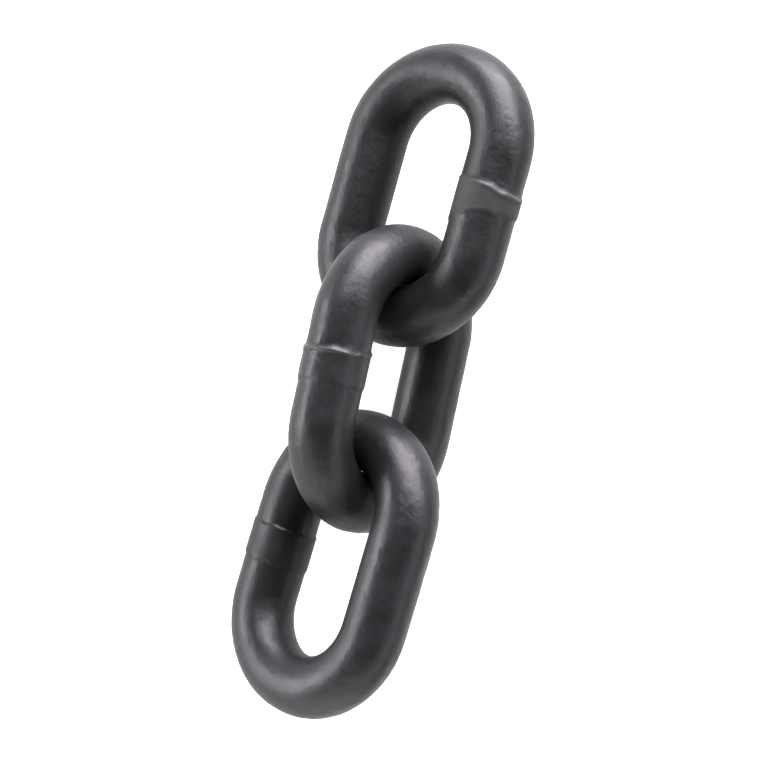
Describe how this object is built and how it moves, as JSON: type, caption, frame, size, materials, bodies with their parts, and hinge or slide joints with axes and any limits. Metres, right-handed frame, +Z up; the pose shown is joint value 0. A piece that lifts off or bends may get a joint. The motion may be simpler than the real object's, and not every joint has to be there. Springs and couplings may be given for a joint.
{
  "type": "short length of steel chain",
  "caption": "Short run of heavy black short-link steel chain: oval welded links of round bar, each through the next, lying pulled straight.",
  "frame": {"origin": "on the floor, under the middle of the straight chain's bounding box", "axes": "+Y along the chain towards the free end of the top link, +Z up from the floor, +X to the side where the end links' upper legs stand"},
  "size_m": [0.0384, 0.1409, 0.0371],
  "materials": {
    "black_lacquer": "satin"
  },
  "bodies": {
    "top_link": {"top_link": "black_lacquer"},
    "middle_link": {"middle_link": "black_lacquer"},
    "bottom_link": {"bottom_link": "black_lacquer"}
  },
  "joints": [
    {"name": "middle_swing", "type": "hinge", "parent": "top_link", "child": "middle_link", "pos_m": [-0.00092, 0.0129, 0.01725], "axis": [0.7313, 0.0051, 0.682], "range_deg": [-110, 110]},
    {"name": "bottom_swing", "type": "hinge", "parent": "middle_link", "child": "bottom_link", "pos_m": [0.00262, -0.0257, 0.01762], "axis": [-0.7057, -0.0444, 0.7071], "range_deg": [-110, 110]}
  ]
}
